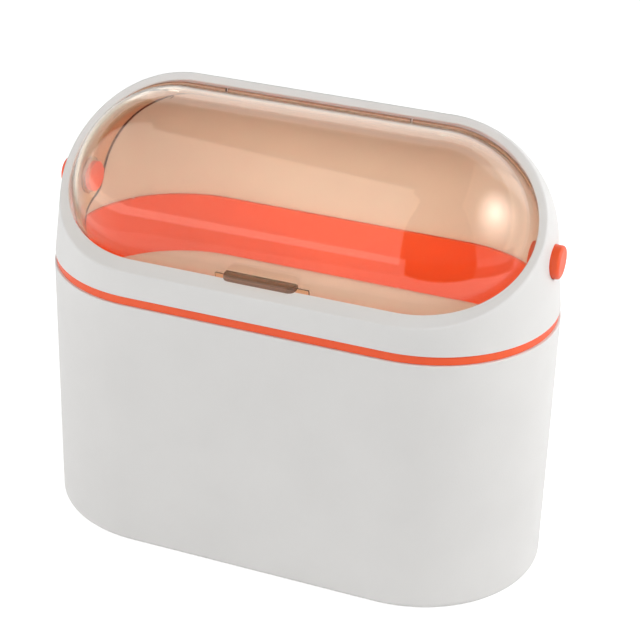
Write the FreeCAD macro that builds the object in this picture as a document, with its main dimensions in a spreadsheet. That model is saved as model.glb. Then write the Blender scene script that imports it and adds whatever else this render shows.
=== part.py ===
"""Desktop trash can: obround bin, bag ring, hooded top frame and a clear roll-top lid on two pivot pins."""
import FreeCAD, Part
import Sketcher
import math
import os

# Driving dimensions in millimetres and degrees
DIMENSIONS = {
    "half_straight": 54.0,          # half the distance between the centres of the round ends
    "bin_radius": 52.0,
    "bin_height": 110.0,
    "bin_wall": 1.8,
    "bin_floor": 2.2,
    "bin_edge": 2.4,                # rounding of the outer bottom edge
    "bin_rim_edge": 0.5,            # rounding of the outer top edge
    "foot_width": 7.0,              # flat ring that the bin stands on
    "foot_height": 1.0,
    "ring_clearance": 0.5,
    "ring_wall": 2.5,
    "ring_drop": 21.0,              # skirt below the bin's rim
    "ring_rise": 6.5,               # collar above the bin's rim
    "bead_height": 3.6,
    "bead_setback": 0.9,
    "bead_edge": 0.5,
    "collar_setback": 0.9,
    "frame_setback": 0.4,           # frame's foot behind the bin's wall
    "frame_lean": 6.26,             # frame's walls lean in by this angle
    "frame_wall": 2.0,
    "pivot_rise": 24.7,             # pivot axis above the frame's foot
    "rim_lip": 3.5,                 # width of the face round the mouth
    "rim_depth": 2.5,
    "rim_outer_edge": 0.9,          # rounding of the rim's outer edge
    "rim_inner_edge": 0.5,
    "frame_foot_edge": 0.4,
    "rim_front_rise": 10.3,         # front of the rim above the frame's foot
    "rim_rear_angle": 21.3,         # rear of the rim behind the hood's top
    "scoop_radius": 130.0,          # hollow curve of the rim in the side view
    "pin_radius": 3.5,
    "head_radius": 6.6,
    "head_height": 4.1,
    "head_edge": 1.4,
    "head_clearance": 0.3,
    "seat_depth": 0.7,              # flat sunk into the hood under a pin's head
    "boss_radius": 6.5,
    "boss_height": 1.8,
    "retainer_radius": 6.4,
    "retainer_height": 2.4,
    "retainer_edge": 0.5,
    "pin_engagement": 1.5,          # pin's end inside its retainer
    "pin_end_gap": 0.1,
    "side_play": 0.3,
    "running_clearance": 0.05,
    "lid_gap": 1.6,                 # lid inside the mouth
    "lid_wall": 1.8,
    "lid_front_margin": 1.4,        # lid's front edge below the tab's plate
    "lid_rear_angle": 70.0,         # rear edge above the horizontal
    "ear_radius": 10.5,
    "hub_radius": 8.0,
    "hub_height": 3.0,
    "hub_proud": 0.4,               # hub beyond the lid's end
    "fin_clearance": 0.5,           # fin's tip inside the mouth
    "fin_angle": 16.0,              # fin behind the lid's top
    "fin_spread": 2.1,              # thickness of the fin as an angle
    "fin_end_angle": 55.0,          # how far the fin follows the round ends
    "slit_place": 39.0,
    "slit_width": 1.0,
    "tab_length": 29.8,
    "tab_height": 2.6,
    "tab_overhang": 3.9,            # front of the tab beyond the mouth's edge
    "tab_rest_gap": 0.3,            # closed tab above the mouth's edge
    "tab_corner": 3.0,
    "tab_edge": 0.7,
    "plate_length": 38.8,
    "plate_height": 0.8,
    "plate_rise": 0.7,              # plate's top above the tab's underside
    "plate_drop": 6.5,              # plate's foot below the tab's underside
}

doc = FreeCAD.newDocument("desktop_trash_can")
sheet = doc.addObject("Spreadsheet::Sheet", "Sizes")


def number(value):
    return value if isinstance(value, Size) else Size(float(value), repr(float(value)))


class Size:
    """A size as a number together with the expression that works it out from the sheet."""

    def __init__(self, value, text):
        self.value = value
        self.text = text

    def __add__(self, other):
        other = number(other)
        return Size(self.value + other.value, f"({self.text} + {other.text})")

    def __sub__(self, other):
        other = number(other)
        return Size(self.value - other.value, f"({self.text} - {other.text})")

    def __mul__(self, factor):
        factor = number(factor)
        return Size(self.value * factor.value, f"({self.text} * {factor.text})")

    def __truediv__(self, other):
        other = number(other)
        return Size(self.value / other.value, f"({self.text} / {other.text})")

    def __neg__(self):
        return Size(-self.value, f"(-1 * {self.text})")


def leg(hypotenuse, side):
    """Other leg of a right triangle."""
    length = math.sqrt(hypotenuse.value ** 2 - side.value ** 2)
    return Size(length, f"sqrt({hypotenuse.text} ^ 2 - {side.text} ^ 2)")


def hypotenuse(first, second):
    length = math.hypot(first.value, second.value)
    return Size(length, f"sqrt({first.text} ^ 2 + {second.text} ^ 2)")


def cosine(angle):
    return Size(math.cos(math.radians(angle.value)), f"cos({angle.text} * 1deg)")


def sine(angle):
    return Size(math.sin(math.radians(angle.value)), f"sin({angle.text} * 1deg)")


def fill_sheet():
    sizes = {}
    for row, (alias, value) in enumerate(DIMENSIONS.items(), start=1):
        sheet.set(f"A{row}", alias)
        sheet.set(f"B{row}", str(value))
        sheet.setAlias(f"B{row}", alias)
        sizes[alias] = Size(value, f"Sizes.{alias}")
    doc.recompute()
    return sizes


size = fill_sheet()
ZERO = number(0.0)

# Sizes that several pieces share
bin_inside = size["bin_radius"] - size["bin_wall"]
ring_outside = bin_inside - size["ring_clearance"]
ring_inside = ring_outside - size["ring_wall"]
collar_outside = ring_outside - size["collar_setback"]
frame_bottom = size["bin_height"] + size["bead_height"]
frame_foot = size["bin_radius"] - size["frame_setback"]
pivot_height = frame_bottom + size["pivot_rise"]
hood_radius = frame_foot * cosine(size["frame_lean"]) - size["pivot_rise"] * sine(size["frame_lean"])
hood_inside = hood_radius - size["frame_wall"]
mouth_radius = hood_radius - size["rim_lip"]
seat_face = size["half_straight"] + hood_radius - size["seat_depth"]
boss_face = size["half_straight"] + hood_inside - size["boss_height"]
hub_outside = boss_face - size["side_play"]
hub_inside = hub_outside - size["hub_height"]
retainer_face = hub_inside - size["side_play"]
lid_radius = mouth_radius - size["lid_gap"]
lid_half_straight = hub_outside - size["hub_proud"] - lid_radius
through_length = (size["half_straight"] + size["bin_radius"]) * 4


def scoop_place():
    """Centre of the scoop in the side view, from the pivot axis, found from the rim's front and rear ends."""
    lean, rear = size["frame_lean"], size["rim_rear_angle"]
    front_back = size["rim_front_rise"] * sine(lean) / cosine(lean) - frame_foot
    front_up = size["rim_front_rise"] - size["pivot_rise"]
    rear_back, rear_up = hood_radius * sine(rear), hood_radius * cosine(rear)
    run, rise = rear_back - front_back, rear_up - front_up
    chord = hypotenuse(run, rise)
    depth = leg(size["scoop_radius"], chord * 0.5) / chord
    return (front_back + rear_back) * 0.5 - rise * depth, (front_up + rear_up) * 0.5 + run * depth


def mouth_edge():
    """Front edge of the mouth in the side view, from the pivot axis: where scoop and mouth circles meet."""
    span = hypotenuse(scoop_back, scoop_up)
    squares = mouth_radius * mouth_radius - size["scoop_radius"] * size["scoop_radius"]
    along = (span + squares / span) * 0.5
    across = leg(mouth_radius, along)
    return (along * scoop_back - across * scoop_up) / span, (along * scoop_up + across * scoop_back) / span


scoop_back, scoop_up = scoop_place()
edge_back, edge_up = mouth_edge()
tab_underside = edge_up + size["tab_rest_gap"]
plate_top = tab_underside + size["plate_rise"]
plate_foot = tab_underside - size["plate_drop"]


def bind(feature, **sizes):
    """Binds properties of a feature to expressions of the sheet."""
    for name, value in sizes.items():
        feature.setExpression(name, value.text)


def new_body(label):
    body = doc.addObject("PartDesign::Body", label)
    body.Label = label
    return body


def plane_of(body, role):
    return next(feature for feature in body.Origin.OriginFeatures if feature.Role == role)


def new_sketch(body, label, role, shift=(ZERO, ZERO, ZERO), tilt=None):
    """Empty sketch on one of the body's own planes, shifted in its frame and tilted about its x axis."""
    sketch = body.newObject("Sketcher::SketchObject", label)
    sketch.AttachmentSupport = [(plane_of(body, role), "")]
    sketch.MapMode = "FlatFace"
    if tilt is not None:
        turned = FreeCAD.Rotation(FreeCAD.Vector(1, 0, 0), tilt.value)
        sketch.AttachmentOffset = FreeCAD.Placement(FreeCAD.Vector(), turned)
        sketch.setExpression("AttachmentOffset.Rotation.Angle", tilt.text)
    for axis, value in zip("xyz", shift):
        if value is not ZERO:
            sketch.setExpression(f"AttachmentOffset.Base.{axis}", value.text)
    return sketch


def pin_point(sketch, geometry, position, x, y):
    """Fixes a point of the sketch at a place measured from the sketch's origin."""
    for kind, value in (("DistanceX", x), ("DistanceY", y)):
        index = sketch.addConstraint(Sketcher.Constraint(kind, -1, 1, geometry, position, value.value))
        sketch.setExpression(f"Constraints[{index}]", value.text)


def set_radius(sketch, geometry, radius):
    index = sketch.addConstraint(Sketcher.Constraint("Radius", geometry, radius.value))
    sketch.setExpression(f"Constraints[{index}]", radius.text)


def arc_between(start, end, radius):
    """Minor arc from start to end, with its centre on the left, or on the right for a negative radius."""
    chord = end - start
    middle = (start + end) * 0.5
    rise = math.sqrt(max(radius ** 2 - (chord.Length / 2) ** 2, 0.0))
    left = FreeCAD.Vector(-chord.y, chord.x, 0).normalize()
    centre = middle + left * math.copysign(rise, radius)
    first, last = (start, end) if radius > 0 else (end, start)
    angles = [math.atan2(point.y - centre.y, point.x - centre.x) for point in (first, last)]
    circle = Part.Circle(centre, FreeCAD.Vector(0, 0, 1), abs(radius))
    return Part.ArcOfCircle(circle, angles[0], angles[1])


def add_outline(sketch, corners, arcs=None):
    """Closed outline through the corners; arcs gives a signed radius for the side after that corner."""
    arcs = arcs or {}
    points = [FreeCAD.Vector(x.value, y.value, 0) for x, y in corners]
    count = len(points)
    starts, ends = [], []
    first = sketch.GeometryCount
    for side in range(count):
        start, end = points[side], points[(side + 1) % count]
        if side in arcs:
            sketch.addGeometry(arc_between(start, end, arcs[side].value), False)
        else:
            sketch.addGeometry(Part.LineSegment(start, end), False)
        backwards = side in arcs and arcs[side].value < 0
        starts.append(2 if backwards else 1)
        ends.append(1 if backwards else 2)
    for side in range(count):
        after = (side + 1) % count
        joint = Sketcher.Constraint("Coincident", first + side, ends[side], first + after, starts[after])
        sketch.addConstraint(joint)
    for side, (x, y) in enumerate(corners):
        pin_point(sketch, first + side, starts[side], x, y)
    for side, radius in arcs.items():
        set_radius(sketch, first + side, radius if radius.value > 0 else -radius)


def add_disc(sketch, x, y, radius):
    centre = FreeCAD.Vector(x.value, y.value, 0)
    circle = sketch.addGeometry(Part.Circle(centre, FreeCAD.Vector(0, 0, 1), radius.value), False)
    pin_point(sketch, circle, 3, x, y)
    set_radius(sketch, circle, radius)


def add_obround(sketch, half_straight, radius):
    """Two straight sides and two half circles about the points at half_straight on the x axis."""
    a, r = half_straight.value, radius.value
    normal = FreeCAD.Vector(0, 0, 1)
    right = Part.ArcOfCircle(Part.Circle(FreeCAD.Vector(a, 0, 0), normal, r), -math.pi / 2, math.pi / 2)
    left = Part.ArcOfCircle(Part.Circle(FreeCAD.Vector(-a, 0, 0), normal, r), math.pi / 2, 3 * math.pi / 2)
    back = Part.LineSegment(FreeCAD.Vector(a, r, 0), FreeCAD.Vector(-a, r, 0))
    front = Part.LineSegment(FreeCAD.Vector(-a, -r, 0), FreeCAD.Vector(a, -r, 0))
    sides = [sketch.addGeometry(item, False) for item in (right, back, left, front)]
    for side, after in zip(sides, sides[1:] + sides[:1]):
        sketch.addConstraint(Sketcher.Constraint("Tangent", side, 2, after, 1))
    pin_point(sketch, sides[0], 3, half_straight, ZERO)
    pin_point(sketch, sides[2], 3, -half_straight, ZERO)
    set_radius(sketch, sides[0], radius)
    sketch.addConstraint(Sketcher.Constraint("Equal", sides[0], sides[2]))


def extrude(body, sketch, label, length, cut=False, both_ways=False, reverse=False):
    feature = body.newObject("PartDesign::Pocket" if cut else "PartDesign::Pad", label)
    feature.Profile = sketch
    feature.Reversed = reverse
    if both_ways:
        feature.SideType = "Symmetric"
    bind(feature, Length=length)
    return feature


def turn(body, sketch, label, axis, angle, cut=False, reverse=False, both_ways=False):
    feature = body.newObject("PartDesign::Groove" if cut else "PartDesign::Revolution", label)
    feature.Profile = sketch
    feature.ReferenceAxis = (sketch, [axis])
    feature.Reversed = reverse
    feature.Midplane = both_ways
    feature.Angle = angle.value
    bind(feature, Angle=angle)
    return feature


def round_edges(body, label, radius, choose):
    """Rounds the edges of the body so far that the chooser accepts."""
    doc.recompute()
    base = body.Tip
    names = [f"Edge{i}" for i, edge in enumerate(base.Shape.Edges, start=1) if choose(edge)]
    feature = body.newObject("PartDesign::Fillet", label)
    feature.Base = (base, names)
    bind(feature, Radius=radius)
    return feature


def lies_at(edge, height):
    """True for an edge that lies flat at a height."""
    box = edge.BoundBox
    return abs(box.ZMin - height.value) < 1e-4 and abs(box.ZMax - height.value) < 1e-4


def slab(body, label, radius, bottom, height, cut=False, reverse=False):
    """Obround slab of the common half straight length from a height upwards."""
    sketch = new_sketch(body, f"{label}_outline", "XY_Plane", (ZERO, ZERO, bottom))
    add_obround(sketch, size["half_straight"], radius)
    return extrude(body, sketch, label, height, cut, reverse=reverse)


# Bin body: open obround tub on a low foot ring
def make_bin():
    body = new_body("bin_body")
    slab(body, "tub", size["bin_radius"], ZERO, size["bin_height"])
    round_edges(body, "bottom_edge", size["bin_edge"], lambda edge: lies_at(edge, ZERO))
    round_edges(body, "top_edge", size["bin_rim_edge"], lambda edge: lies_at(edge, size["bin_height"]))
    slab(body, "cavity", bin_inside, size["bin_floor"], size["bin_height"], cut=True, reverse=True)
    foot_inside = size["bin_radius"] - size["foot_width"]
    slab(body, "foot_recess", foot_inside, ZERO, size["foot_height"], cut=True, reverse=True)
    return body


# Bag ring: a bead on the bin's rim, a skirt inside the bin and a collar inside the frame
def make_ring():
    body = new_body("bag_ring")
    skirt_bottom = size["bin_height"] - size["ring_drop"]
    slab(body, "bead", size["bin_radius"] - size["bead_setback"], size["bin_height"], size["bead_height"])
    round_edges(body, "bead_edges", size["bead_edge"], lambda edge: True)
    slab(body, "skirt", ring_outside, skirt_bottom, size["ring_drop"])
    slab(body, "collar", collar_outside, size["bin_height"], size["ring_rise"])
    ring_height = size["ring_drop"] + size["ring_rise"]
    slab(body, "mouth", ring_inside, skirt_bottom, ring_height, cut=True, reverse=True)
    return body


def hood_solid(label, radius):
    """Solid with leaning walls that run smoothly into half a capsule about the pivot axis."""
    body = new_body(label)
    lean = size["frame_lean"]
    bottom = -size["pivot_rise"]
    foot = (radius + size["pivot_rise"] * sine(lean)) / cosine(lean)
    shoulder, shoulder_up = radius * cosine(lean), radius * sine(lean)
    half = [(ZERO, bottom), (foot, bottom), (shoulder, shoulder_up), (ZERO, radius)]
    section = [(-foot, bottom)] + half[1:] + [(-shoulder, shoulder_up)]
    sketch = new_sketch(body, f"{label}_section", "YZ_Plane")
    add_outline(sketch, section, {2: radius, 3: radius})
    extrude(body, sketch, f"{label}_middle", size["half_straight"] * 2, both_ways=True)
    straight = size["half_straight"]
    for end, place, reverse in (("right", straight, True), ("left", -straight, False)):
        sketch = new_sketch(body, f"{label}_{end}_profile", "YZ_Plane", (ZERO, ZERO, place))
        add_outline(sketch, half, {2: radius})
        turn(body, sketch, f"{label}_{end}", "V_Axis", number(180.0), reverse=reverse)
    return body


def scoop_solid(label, radius):
    """Cylinder across the whole frame that hollows the rim."""
    body = new_body(label)
    sketch = new_sketch(body, f"{label}_outline", "YZ_Plane", (scoop_back, scoop_up, ZERO))
    add_disc(sketch, ZERO, ZERO, radius)
    extrude(body, sketch, f"{label}_roll", through_length, both_ways=True)
    return body


def mouth_solid():
    """Capsule about the pivot axis that opens the mouth."""
    body = new_body("mouth_capsule")
    centre = size["half_straight"]
    corners = [(centre + mouth_radius, ZERO), (centre, mouth_radius), (-centre, mouth_radius),
               (-centre - mouth_radius, ZERO)]
    sketch = new_sketch(body, "mouth_profile", "XZ_Plane")
    add_outline(sketch, corners, {0: mouth_radius, 2: mouth_radius})
    turn(body, sketch, "mouth_turned", "H_Axis", number(360.0))
    return body


def raise_to_pivot(piece):
    """Lifts a piece that is drawn about the pivot axis to that axis."""
    piece.setExpression("Placement.Base.z", pivot_height.text)
    return piece


def pivot_rod(label, radius, start, length, side):
    """Cylinder about the pivot axis from a distance outwards on one side."""
    rod = doc.addObject("Part::Cylinder", label)
    rod.Placement.Rotation = FreeCAD.Rotation(FreeCAD.Vector(0, 1, 0), 90.0 * side)
    rod.setExpression("Placement.Base.x", (start * float(side)).text)
    bind(rod, Radius=radius, Height=length)
    return rod


def joined(kind, label, first, others):
    """Cut or fusion of a piece with several others."""
    if len(others) > 1:
        tool = doc.addObject("Part::MultiFuse", f"{label}_tools")
        tool.Shapes = others
    else:
        tool = others[0]
    result = doc.addObject(kind, label)
    result.Base = first
    result.Tool = tool
    result.Refine = True
    result.Label = label
    return result


def edge_points(edge):
    """A few points spread along an edge."""
    first, last = edge.ParameterRange
    return [edge.valueAt(first + (last - first) * share) for share in (0.0, 0.25, 0.5, 0.75, 1.0)]


def is_rim_edge(edge):
    """True for an edge of the scooped face."""
    back, up = scoop_back.value, scoop_up.value
    reaches = [math.hypot(point.y - back, point.z - up) for point in edge_points(edge)]
    return all(abs(reach - size["scoop_radius"].value) < 1e-3 for reach in reaches)


def is_mouth_edge(edge):
    """True for an edge on the capsule that opens the mouth."""
    straight = size["half_straight"].value
    reaches = [math.hypot(max(abs(point.x) - straight, 0.0), point.y, point.z) for point in edge_points(edge)]
    return all(abs(reach - mouth_radius.value) < 1e-3 for reach in reaches)


def round_frame(frame):
    """Rounds the rim's outer and inner edges and the foot."""
    doc.recompute()
    chosen = []
    for number_of_edge, edge in enumerate(frame.Shape.Edges, start=1):
        radius = None
        if is_rim_edge(edge):
            radius = size["rim_inner_edge"] if is_mouth_edge(edge) else size["rim_outer_edge"]
        elif lies_at(edge, -size["pivot_rise"]):
            radius = size["frame_foot_edge"]
        if radius is not None:
            chosen.append((number_of_edge, radius.value, radius.value))
    result = doc.addObject("Part::Fillet", "top_frame")
    result.Base = frame
    result.Edges = chosen
    result.Label = "top_frame"
    return result


# Top frame: hollow hood with a lip round the scooped mouth, a boss and a head seat at each pivot
def make_frame():
    block = hood_solid("hood_block", hood_radius)
    scoop = scoop_solid("rim_scoop", size["scoop_radius"])
    lip_scoop = scoop_solid("lip_scoop", size["scoop_radius"] + size["rim_depth"])
    hollow = joined("Part::Cut", "hood_hollow", hood_solid("hollow_block", hood_inside), [lip_scoop])
    scooped = joined("Part::Cut", "scooped_hood", block, [scoop])
    shell = joined("Part::Cut", "hood_shell", scooped, [hollow, mouth_solid()])
    bosses, cuts = [], []
    boss_root = size["boss_height"] + size["frame_wall"] * 0.5
    for name, side in (("right", 1), ("left", -1)):
        bosses.append(pivot_rod(f"boss_{name}", size["boss_radius"], boss_face, boss_root, side))
        seat_radius = size["head_radius"] + size["head_clearance"]
        cuts.append(pivot_rod(f"seat_{name}", seat_radius, seat_face, size["head_height"], side))
        cuts.append(pivot_rod(f"pin_hole_{name}", size["pin_radius"], boss_face - size["boss_height"],
                              size["boss_height"] * 4, side))
    bossed = joined("Part::Fuse", "hood_with_bosses", shell, bosses)
    return raise_to_pivot(round_frame(joined("Part::Cut", "drilled_hood", bossed, cuts)))


def place_on_pivot(body, distance, side):
    """Puts a turned piece, drawn along its own z axis, on the pivot axis facing outwards."""
    body.Placement.Rotation = FreeCAD.Rotation(FreeCAD.Vector(0, 1, 0), 90.0 * side)
    body.setExpression("Placement.Base.x", (distance * float(side)).text)
    raise_to_pivot(body)


# Pivot pin: domed-edge head outside the frame and a plain shank through frame, lid and into the retainer
def make_pin(label, side):
    body = new_body(label)
    shank = seat_face - retainer_face + size["pin_engagement"]
    head, edge = size["head_radius"], size["head_edge"]
    top = size["head_height"]
    corners = [(ZERO, -shank), (size["pin_radius"], -shank), (size["pin_radius"], ZERO), (head, ZERO),
               (head, top - edge), (head - edge, top), (ZERO, top)]
    sketch = new_sketch(body, f"{label}_profile", "XZ_Plane")
    add_outline(sketch, corners, {4: edge})
    turn(body, sketch, f"{label}_turned", "V_Axis", number(360.0))
    place_on_pivot(body, seat_face, side)
    return body


# Pin retainer: cap pressed on the pin's inner end
def make_retainer(label, side):
    body = new_body(label)
    outer, edge, bore = size["retainer_radius"], size["retainer_edge"], size["pin_radius"]
    depth = size["pin_engagement"] + size["pin_end_gap"]
    low = -size["retainer_height"]
    corners = [(ZERO, low), (outer - edge, low), (outer, low + edge), (outer, ZERO), (bore, ZERO),
               (bore, -depth), (ZERO, -depth)]
    sketch = new_sketch(body, f"{label}_profile", "XZ_Plane")
    add_outline(sketch, corners, {1: edge})
    turn(body, sketch, f"{label}_turned", "V_Axis", number(360.0))
    place_on_pivot(body, retainer_face, side)
    return body


def add_lid_shell(body):
    """Thin capsule of revolution about the pivot axis."""
    centre, outer = lid_half_straight, lid_radius
    inner = outer - size["lid_wall"]
    corners = [(centre + inner, ZERO), (centre + outer, ZERO), (centre, outer), (-centre, outer),
               (-centre - outer, ZERO), (-centre - inner, ZERO), (-centre, inner), (centre, inner)]
    sketch = new_sketch(body, "lid_profile", "XZ_Plane")
    add_outline(sketch, corners, {1: outer, 3: outer, 5: -inner, 7: -inner})
    turn(body, sketch, "lid_shell", "H_Axis", number(360.0))


def cut_lid_edges(body):
    """Leaves the lid from its rear edge over the top to its front edge, with a round ear about each pivot."""
    ear, far, rear = size["ear_radius"], lid_radius * 2, size["lid_rear_angle"]
    front_up = plate_foot - size["lid_front_margin"]
    front_back = -leg(lid_radius, front_up)
    square = lid_radius * lid_radius
    share, turned = ear * ear / square, ear * leg(lid_radius, ear) / square
    front_foot = (front_back * share - front_up * turned, front_up * share + front_back * turned)
    front_end = (front_back * 2 - front_foot[0], front_up * 2 - front_foot[1])
    rear_foot = (ear * sine(rear), -ear * cosine(rear))
    rear_end = (rear_foot[0] + far * cosine(rear), rear_foot[1] + far * sine(rear))
    corners = [front_end, (front_end[0], -far), (rear_end[0] + far, -far),
               (rear_end[0] + far, rear_end[1]), rear_end, rear_foot, front_foot]
    sketch = new_sketch(body, "lid_edges", "YZ_Plane")
    add_outline(sketch, corners, {5: -ear})
    extrude(body, sketch, "lid_sector", through_length, cut=True, both_ways=True)


def add_fin(body):
    """Upright fin behind the lid's top, in three lengths between two slits; its tip follows the mouth."""
    root, tip = lid_radius - size["lid_wall"] * 0.5, mouth_radius - size["fin_clearance"]
    slit_in = size["slit_place"] - size["slit_width"] * 0.5
    slit_out = size["slit_place"] + size["slit_width"] * 0.5
    straight, angle = size["half_straight"], size["fin_end_angle"]
    fin_end = lid_half_straight + root * sine(angle)
    right = [(slit_out, root), (lid_half_straight, root), (fin_end, root * cosine(angle)),
             (fin_end, leg(tip, fin_end - straight)), (straight, tip), (slit_out, tip)]
    sketch = new_sketch(body, "fin_profile", "XZ_Plane", tilt=-size["fin_angle"])
    add_outline(sketch, [(-slit_in, root), (slit_in, root), (slit_in, tip), (-slit_in, tip)])
    add_outline(sketch, right, {1: -root, 3: tip})
    add_outline(sketch, [(-x, y) for x, y in right], {1: root, 3: -tip})
    turn(body, sketch, "fin", "H_Axis", size["fin_spread"], both_ways=True)


# Lid: clear roll-top sector with a fin at the rear and a bored hub at each pivot
def make_lid():
    body = new_body("lid_dome")
    add_lid_shell(body)
    cut_lid_edges(body)
    add_fin(body)
    for end, place, reverse in (("right", hub_inside, False), ("left", -hub_inside, True)):
        sketch = new_sketch(body, f"hub_{end}_outline", "YZ_Plane", (ZERO, ZERO, place))
        add_disc(sketch, ZERO, ZERO, size["hub_radius"])
        extrude(body, sketch, f"hub_{end}", size["hub_height"], reverse=reverse)
    sketch = new_sketch(body, "bore_outline", "YZ_Plane")
    add_disc(sketch, ZERO, ZERO, size["pin_radius"] + size["running_clearance"])
    extrude(body, sketch, "bore", through_length, cut=True, both_ways=True)
    return raise_to_pivot(body)


def add_tab_bar(body, reach, bottom):
    """Bar with rounded front corners from inside the lid's wall forwards."""
    half, corner, edge = size["tab_length"] * 0.5, size["tab_corner"], size["tab_edge"]
    back = lid_radius * 0.5
    corners = [(-half, -back), (-half, -reach + corner), (-half + corner, -reach), (half - corner, -reach),
               (half, -reach + corner), (half, -back)]
    sketch = new_sketch(body, "bar_outline", "XY_Plane", (ZERO, ZERO, bottom))
    add_outline(sketch, corners, {1: corner, 3: corner})
    extrude(body, sketch, "bar", size["tab_height"])
    top = bottom + size["tab_height"]

    def is_outer_edge(found):
        return (lies_at(found, bottom) or lies_at(found, top)) and found.BoundBox.YMin < -back.value - 1e-4

    round_edges(body, "bar_edges", edge, is_outer_edge)


# Finger tab: bar over the front of the mouth on a thin plate that follows the lid
def make_tab():
    body = new_body("finger_tab")
    add_tab_bar(body, size["tab_overhang"] - edge_back, tab_underside)
    root, skin = lid_radius - size["lid_wall"], lid_radius + size["plate_height"]
    corners = [(-leg(root, plate_top), plate_top), (-leg(skin, plate_top), plate_top),
               (-leg(skin, plate_foot), plate_foot), (-leg(root, plate_foot), plate_foot)]
    sketch = new_sketch(body, "plate_section", "YZ_Plane")
    add_outline(sketch, corners, {1: skin, 3: -root})
    extrude(body, sketch, "plate", size["plate_length"], both_ways=True)
    sketch = new_sketch(body, "seat_outline", "YZ_Plane")
    add_disc(sketch, ZERO, ZERO, lid_radius)
    extrude(body, sketch, "seat", through_length, cut=True, both_ways=True)
    return raise_to_pivot(body)


def check(pieces):
    doc.recompute()
    for item in doc.Objects:
        if "Invalid" in item.State or "Error" in item.State:
            raise RuntimeError(f"{item.Name} failed: {item.State}")
    for piece in pieces:
        shape = piece.Shape
        if shape.isNull() or not shape.isValid() or len(shape.Solids) != 1:
            raise RuntimeError(f"{piece.Label} is not one valid solid")


def main():
    pieces = [make_bin(), make_ring(), make_frame(), make_lid(), make_tab()]
    for name, side in (("right", 1), ("left", -1)):
        pieces.append(make_pin(f"pivot_pin_{name}", side))
        pieces.append(make_retainer(f"pin_retainer_{name}", side))
    check(pieces)
    os.makedirs("parts", exist_ok=True)
    for piece in pieces:
        piece.Shape.exportStep(os.path.join("parts", f"{piece.Label}.step"))
        box = piece.Shape.BoundBox
        print(f"{piece.Label}: {piece.Shape.Volume:.0f} mm3, z {box.ZMin:.2f} to {box.ZMax:.2f}")


main()
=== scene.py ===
"""Looks, light and camera of the desktop trash can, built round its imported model; lengths are in metres."""

from math import cos, pi, radians, sin

import bpy
from mathutils import Matrix, Vector


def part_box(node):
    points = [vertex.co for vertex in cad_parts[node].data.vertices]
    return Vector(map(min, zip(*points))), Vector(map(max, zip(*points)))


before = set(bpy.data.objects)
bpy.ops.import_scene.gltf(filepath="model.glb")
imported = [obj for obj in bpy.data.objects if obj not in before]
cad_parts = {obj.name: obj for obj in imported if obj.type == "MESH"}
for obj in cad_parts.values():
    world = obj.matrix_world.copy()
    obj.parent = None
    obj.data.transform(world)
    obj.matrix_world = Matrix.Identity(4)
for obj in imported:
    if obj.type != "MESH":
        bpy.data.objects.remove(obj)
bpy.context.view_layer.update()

# Sizes that are read from the imported model's lid and pin
lid_low, lid_high = (Vector(corner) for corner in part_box("lid_dome"))
pin_low, pin_high = (Vector(corner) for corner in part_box("pivot_pin_right"))
pivot_height = (pin_low.z + pin_high.z) / 2
lid_radius = -lid_low.y
lid_half_straight = lid_high.x - lid_radius


# Small helpers for node materials

def new_material(name):
    """Return a new node material, its tree and its main shader."""
    material = bpy.data.materials.new(name)
    material.use_nodes = True
    tree = material.node_tree
    return material, tree, tree.nodes["Principled BSDF"]


def object_place(tree):
    """Return the x, y and z of each point in the object's own frame."""
    place = tree.nodes.new("ShaderNodeTexCoord")
    parts = tree.nodes.new("ShaderNodeSeparateXYZ")
    tree.links.new(place.outputs["Object"], parts.inputs["Vector"])
    return parts.outputs["X"], parts.outputs["Y"], parts.outputs["Z"]


def noise(tree, size, detail=2.0):
    """Return the value of a noise fixed to the object, whose blotches are about `size` metres across."""
    place = tree.nodes.new("ShaderNodeTexCoord")
    texture = tree.nodes.new("ShaderNodeTexNoise")
    texture.inputs["Scale"].default_value = 1 / size
    texture.inputs["Detail"].default_value = detail
    tree.links.new(place.outputs["Object"], texture.inputs["Vector"])
    return texture.outputs["Fac"]


def map_range(tree, value, start, end, low, high):
    """Return low where value is at start, high where it is at end, and an even change between them."""
    node = tree.nodes.new("ShaderNodeMapRange")
    node.inputs["From Min"].default_value = start
    node.inputs["From Max"].default_value = end
    node.inputs["To Min"].default_value = low
    node.inputs["To Max"].default_value = high
    tree.links.new(value, node.inputs["Value"])
    return node.outputs["Result"]


def spread(tree, value, low, high):
    """Return a noise value with its middle range stretched from low to high."""
    middle_start, middle_end = 0.3, 0.7
    return map_range(tree, value, middle_start, middle_end, low, high)


def blend_colours(tree, value, first, second):
    """Return the colour between first and second that value picks."""
    node = tree.nodes.new("ShaderNodeMix")
    node.data_type = "RGBA"
    node.inputs["A"].default_value = (*first, 1)
    node.inputs["B"].default_value = (*second, 1)
    tree.links.new(value, node.inputs["Factor"])
    return node.outputs["Result"]


def multiply_colours(tree, first, second):
    """Return the first colour times the second."""
    node = tree.nodes.new("ShaderNodeMix")
    node.data_type = "RGBA"
    node.blend_type = "MULTIPLY"
    node.inputs["Factor"].default_value = 1.0
    tree.links.new(first, node.inputs["A"])
    tree.links.new(second, node.inputs["B"])
    return node.outputs["Result"]


def calculate(tree, operation, first, second=0.0):
    """Return the result of a sum on a value and, where the sum takes two, a second value or number."""
    node = tree.nodes.new("ShaderNodeMath")
    node.operation = operation
    tree.links.new(first, node.inputs[0])
    if isinstance(second, float):
        node.inputs[1].default_value = second
    else:
        tree.links.new(second, node.inputs[1])
    return node.outputs["Value"]


def add_bump(tree, shader, value, depth):
    """Raise the shader's surface by value times depth metres."""
    node = tree.nodes.new("ShaderNodeBump")
    node.inputs["Strength"].default_value = 1.0
    node.inputs["Distance"].default_value = depth
    tree.links.new(value, node.inputs["Height"])
    tree.links.new(node.outputs["Normal"], shader.inputs["Normal"])


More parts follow.
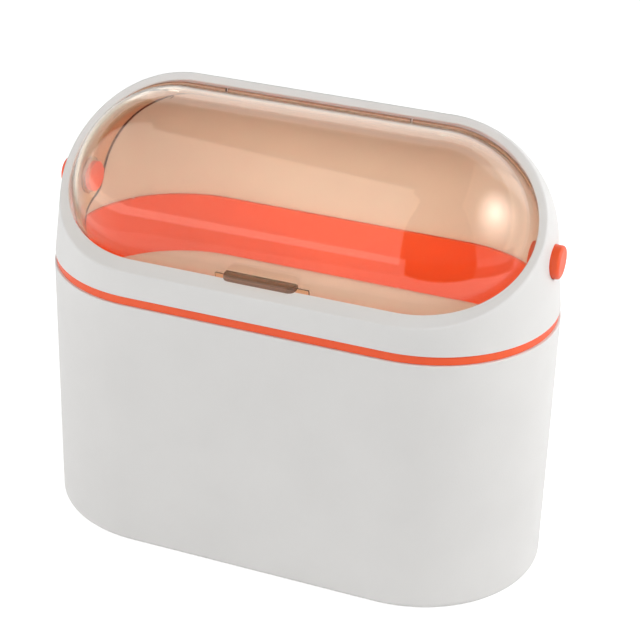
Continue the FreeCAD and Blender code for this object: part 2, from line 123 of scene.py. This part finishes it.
def ray_is(tree, *kinds):
    """Return 1 where the ray that arrives is one of the kinds named, otherwise 0."""
    path = tree.nodes.new("ShaderNodeLightPath")
    total = path.outputs[kinds[0]]
    for kind in kinds[1:]:
        total = calculate(tree, "MAXIMUM", total, path.outputs[kind])
    return total


# The plastics

def moulded_plastic(name, first, second, grain_depth):
    """Return opaque moulded plastic: a faint cloud of two colours, uneven gloss and a fine spark grain."""
    cloud_size, gloss_size, grain_size = 0.03, 0.004, 0.0006
    smooth, rough, grain_detail = 0.40, 0.50, 3.0
    material, tree, shader = new_material(name)
    cloud = spread(tree, noise(tree, cloud_size), 0.0, 1.0)
    tree.links.new(blend_colours(tree, cloud, first, second), shader.inputs["Base Color"])
    gloss = spread(tree, noise(tree, gloss_size), smooth, rough)
    tree.links.new(gloss, shader.inputs["Roughness"])
    add_bump(tree, shader, noise(tree, grain_size, grain_detail), grain_depth)
    return material


def in_front_of_lid(tree, behind, in_front):
    """Return one value behind the foremost line of the lid and another in front of it, on the tab's bar."""
    fade = 0.001
    _, y, _ = object_place(tree)
    return map_range(tree, y, lid_low.y - fade, lid_low.y, in_front, behind)


def outside_lid(tree):
    """Return 0 inside the lid's round-ended curve and 1 outside it, where the lid's fin stands up."""
    fade = 0.0003
    x, y, z = object_place(tree)
    past_straight = calculate(tree, "SUBTRACT", calculate(tree, "ABSOLUTE", x), lid_half_straight)
    along = calculate(tree, "MAXIMUM", past_straight, 0.0)
    above = calculate(tree, "SUBTRACT", z, pivot_height)
    total = calculate(tree, "MULTIPLY", along, along)
    for length in (y, above):
        total = calculate(tree, "ADD", total, calculate(tree, "MULTIPLY", length, length))
    radius = calculate(tree, "SQRT", total)
    return map_range(tree, radius, lid_radius + fade, lid_radius + 2 * fade, 0.0, 1.0)


def amber_clear(name, fin_tint=None, bar_tint=None):
    """Return clear amber plastic, deeper where it is seen at a slant; shadow and diffuse rays cross it.

    With fin_tint it is darkened by that colour outside the lid's curve. With bar_tint it is darkened by
    that colour, and less clear, in front of the lid.
    """
    clear, face_tint, slant_tint = (1, 1, 1), (0.98, 0.77, 0.55), (0.15, 0.125, 0.115)
    shadow_tint = (0.99, 0.96, 0.93)
    even_blend, slant_power = 0.5, 3.4
    cloud_size, cloud_depth = 0.02, 0.03
    gloss_size, smooth, rough = 0.02, 0.02, 0.05
    bar_clearness, refraction = 0.5, 1.49
    material, tree, shader = new_material(name)
    slant = tree.nodes.new("ShaderNodeLayerWeight")
    slant.inputs["Blend"].default_value = even_blend
    depth = calculate(tree, "POWER", slant.outputs["Facing"], slant_power)
    cloud = spread(tree, noise(tree, cloud_size), 0.0, cloud_depth)
    tint = blend_colours(tree, calculate(tree, "ADD", depth, cloud), face_tint, slant_tint)
    if fin_tint:
        fin = blend_colours(tree, outside_lid(tree), clear, fin_tint)
        tint = multiply_colours(tree, tint, fin)
    if bar_tint:
        bar = blend_colours(tree, in_front_of_lid(tree, 0.0, 1.0), clear, bar_tint)
        tint = multiply_colours(tree, tint, bar)
        clearness = in_front_of_lid(tree, 1.0, bar_clearness)
        tree.links.new(clearness, shader.inputs["Transmission Weight"])
    tree.links.new(tint, shader.inputs["Base Color"])
    gloss = spread(tree, noise(tree, gloss_size), smooth, rough)
    tree.links.new(gloss, shader.inputs["Roughness"])
    shader.inputs["IOR"].default_value = refraction
    shader.inputs["Transmission Weight"].default_value = 1.0
    open_way = tree.nodes.new("ShaderNodeBsdfTransparent")
    open_way.inputs["Color"].default_value = (*shadow_tint, 1)
    choice = tree.nodes.new("ShaderNodeMixShader")
    tree.links.new(ray_is(tree, "Is Shadow Ray", "Is Diffuse Ray"), choice.inputs["Fac"])
    tree.links.new(shader.outputs["BSDF"], choice.inputs[1])
    tree.links.new(open_way.outputs["BSDF"], choice.inputs[2])
    tree.links.new(choice.outputs["Shader"], tree.nodes["Material Output"].inputs["Surface"])
    return material


def dress_all():
    """Give every node the plastic that it is moulded in; the tab has an amber of its own, for its bar."""
    white, pale_white = (0.775, 0.765, 0.75), (0.80, 0.79, 0.775)
    orange, pale_orange = (0.95, 0.10, 0.02), (0.97, 0.115, 0.025)
    fin_tint, bar_tint = (0.60, 0.45, 0.38), (0.24, 0.17, 0.15)
    plastics = {
        "white_plastic": moulded_plastic("white_plastic", white, pale_white, grain_depth=0.00005),
        "orange_plastic": moulded_plastic("orange_plastic", orange, pale_orange, grain_depth=0.00002),
        "amber_clear": amber_clear("amber_clear", fin_tint=fin_tint),
    }
    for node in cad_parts.values():
        slot = node.material_slots[0]
        slot.material = plastics[slot.material.name.split(".")[0]]
    tab_amber = amber_clear("tab_amber", bar_tint=bar_tint)
    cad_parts["finger_tab"].material_slots[0].material = tab_amber


# The studio

def outward(azimuth):
    """Return the level direction at an azimuth in degrees, counted from the front towards the right."""
    angle = radians(azimuth)
    return Vector((sin(angle), -cos(angle), 0))


def add_mesh(name, corners, faces):
    """Add a mesh with a matt, glowing material; return its object and the material's tree and shader."""
    mesh = bpy.data.meshes.new(name)
    mesh.from_pydata(corners, [], faces)
    piece = bpy.data.objects.new(name, mesh)
    bpy.context.collection.objects.link(piece)
    material, tree, shader = new_material(name)
    shader.inputs["Roughness"].default_value = 1.0
    shader.inputs["Specular IOR Level"].default_value = 0.0
    shader.inputs["Emission Color"].default_value = (1, 1, 1, 1)
    mesh.materials.append(material)
    return piece, tree, shader


def add_floor():
    """Add the pale floor, which curves up behind into a backdrop; it takes shadows and looks white."""
    reach, wall, bend, height, steps = 60.0, 2.2, 0.5, 1.8, 12
    paleness, glow = 0.72, 0.7
    outline = [(-reach, 0)]
    for step in range(steps + 1):
        angle = step / steps * pi / 2
        outline.append((wall - bend + bend * sin(angle), bend - bend * cos(angle)))
    outline.append((wall, height))
    corners = []
    for side in (-reach, reach):
        corners += [(side, y, z) for y, z in outline]
    count = len(outline)
    faces = [(n, n + count, n + count + 1, n + 1) for n in range(count - 1)]
    floor, tree, shader = add_mesh("studio_floor", corners, faces)
    shader.inputs["Base Color"].default_value = (paleness, paleness, paleness, 1)
    seen = ray_is(tree, "Is Camera Ray", "Is Glossy Ray", "Is Transmission Ray")
    tree.links.new(calculate(tree, "MULTIPLY", seen, glow), shader.inputs["Emission Strength"])


def add_floor_card(name, left, right, brightness):
    """Lay an even card on the floor between two azimuths; only mirror images and the clear lid show it."""
    near, far, above_floor = 0.48, 60.0, 0.001
    start = Vector((lid_high.x / 2, lid_low.y, above_floor))
    corners = []
    for azimuth, reach in ((left, near), (right, near), (right, far), (left, far)):
        corners.append(start + outward(azimuth) * reach)
    card, _, shader = add_mesh(name, corners, [(0, 1, 2, 3)])
    shader.inputs["Base Color"].default_value = (0, 0, 0, 1)
    shader.inputs["Emission Strength"].default_value = brightness
    card.visible_camera = False
    card.visible_diffuse = False
    card.visible_shadow = False


def add_floor_cards():
    """Lay the cards that the lid mirrors: a dark gap between a bright left side and a dim right side."""
    gap_left, gap_right = -9.6, 61.4
    add_floor_card("left_card", left=-95, right=gap_left, brightness=1.1)
    add_floor_card("middle_card", left=gap_left, right=gap_right, brightness=0.04)
    add_floor_card("right_card", left=gap_right, right=105, brightness=0.35)


def add_world(brightness):
    """Fill the studio with an even, soft light."""
    warm_white = (1.0, 0.99, 0.98)
    world = bpy.data.worlds.new("studio")
    world.use_nodes = True
    light = world.node_tree.nodes["Background"]
    light.inputs["Color"].default_value = (*warm_white, 1)
    light.inputs["Strength"].default_value = brightness
    bpy.context.scene.world = world


def fade_from_middle(light):
    """Make a lamp bright in its middle, falling off smoothly to its edge."""
    middle, fall_off = 0.5, 1.6
    light.use_nodes = True
    tree = light.node_tree
    place = tree.nodes.new("ShaderNodeNewGeometry")
    offset = tree.nodes.new("ShaderNodeVectorMath")
    offset.operation = "DISTANCE"
    offset.inputs[1].default_value = (middle, middle, 0)
    tree.links.new(place.outputs["Parametric"], offset.inputs[0])
    nearness = map_range(tree, offset.outputs["Value"], 0.0, middle, 1.0, 0.0)
    strength = calculate(tree, "POWER", nearness, fall_off)
    tree.links.new(strength, tree.nodes["Emission"].inputs["Strength"])


def add_lamp(name, place, facing, width, height, brightness):
    """Hang a flat lamp at a place, shining along facing; return its object. Brightness 1 looks white."""
    light = bpy.data.lights.new(name, "AREA")
    light.shape = "RECTANGLE"
    light.size = width
    light.size_y = height
    light.energy = brightness * pi * width * height
    lamp = bpy.data.objects.new(name, light)
    bpy.context.collection.objects.link(lamp)
    back = -facing.normalized()
    across = Vector((0, 0, 1)).cross(back).normalized()
    turn = Matrix((across, back.cross(across), back)).transposed()
    lamp.matrix_world = Matrix.Translation(place) @ turn.to_4x4()
    return lamp


def add_panel(name, azimuth, distance, low, high, width, brightness):
    """Stand an upright lamp that faces the object at an azimuth in degrees, and return its object."""
    place = outward(azimuth) * distance + Vector((0, 0, (low + high) / 2))
    return add_lamp(name, place, -outward(azimuth), width, high - low, brightness)


def show_only_light(lamp):
    """Keep a lamp out of sight, also in mirror images and through the lid; its light stays."""
    lamp.visible_camera = False
    lamp.visible_glossy = False
    lamp.visible_transmission = False


def add_side_lamps():
    """Set a large panel at the left, a dimmer one at the right and a soft round lamp in front of that."""
    add_panel("left_panel", azimuth=-57, distance=0.9, low=0.0, high=2.3, width=1.8, brightness=1.1)
    add_panel("right_panel", azimuth=106, distance=0.9, low=0.0, high=1.8, width=1.8, brightness=0.55)
    lamp = add_panel("right_lamp", azimuth=96, distance=0.85, low=0.15, high=1.15,
                     width=1.1, brightness=9.2)
    fade_from_middle(lamp.data)


def add_fills():
    """Add a fill lamp in front and one behind; neither shows in the lid."""
    front = add_panel("front_fill", azimuth=15, distance=1.4, low=0.1, high=1.1, width=1.0, brightness=1.85)
    rear = add_panel("rear_fill", azimuth=180, distance=1.2, low=0.0, high=0.6, width=2.0, brightness=1.0)
    for fill in (front, rear):
        show_only_light(fill)


def add_rear_card():
    """Add the cool card behind the object that the lid's top mirrors; it lights no plain surface."""
    cool_white = (0.84, 0.91, 1.0)
    card = add_panel("rear_card", azimuth=180, distance=1.6, low=0.3, high=2.1, width=3.0, brightness=0.75)
    card.data.color = cool_white
    card.visible_camera = False
    card.visible_diffuse = False


def add_inner_strip(brightness):
    """Add an unseen strip lamp under the lid, for the light that soaks through the thin walls."""
    width, height = lid_high.x * 1.3, lid_high.x * 0.2
    place = Vector((0, lid_low.y / 2, pivot_height))
    down_and_back = Vector((0, 1, -2.5))
    strip = add_lamp("inner_strip", place, down_and_back, width, height, brightness)
    show_only_light(strip)


def add_camera():
    """Set the camera where the photograph was taken from, as fitted to the outlines in it."""
    image_width, focal_pixels = 640, 1825.12
    azimuth, elevation, roll = radians(20.765), radians(27.221), radians(1.752)
    distance, aim_height, aim_right, aim_up = 0.75597, 0.07179, 0.008146, 0.017860
    data = bpy.data.cameras.new("camera")
    data.sensor_fit = "HORIZONTAL"
    data.lens = focal_pixels * data.sensor_width / image_width
    camera = bpy.data.objects.new("camera", data)
    bpy.context.collection.objects.link(camera)
    back = Vector((sin(azimuth) * cos(elevation), -cos(azimuth) * cos(elevation), sin(elevation)))
    level = Vector((cos(azimuth), sin(azimuth), 0))
    above = back.cross(level)
    right = level * cos(roll) + above * sin(roll)
    up = above * cos(roll) - level * sin(roll)
    aim = Vector((0, 0, aim_height)) + right * aim_right + up * aim_up
    turn = Matrix((right, up, back)).transposed()
    camera.matrix_world = Matrix.Translation(aim + back * distance) @ turn.to_4x4()
    bpy.context.scene.camera = camera


dress_all()
add_floor()
add_floor_cards()
add_world(brightness=0.13)
add_side_lamps()
add_fills()
add_rear_card()
add_inner_strip(brightness=6.8)
add_camera()
bpy.context.scene.view_settings.view_transform = "Standard"
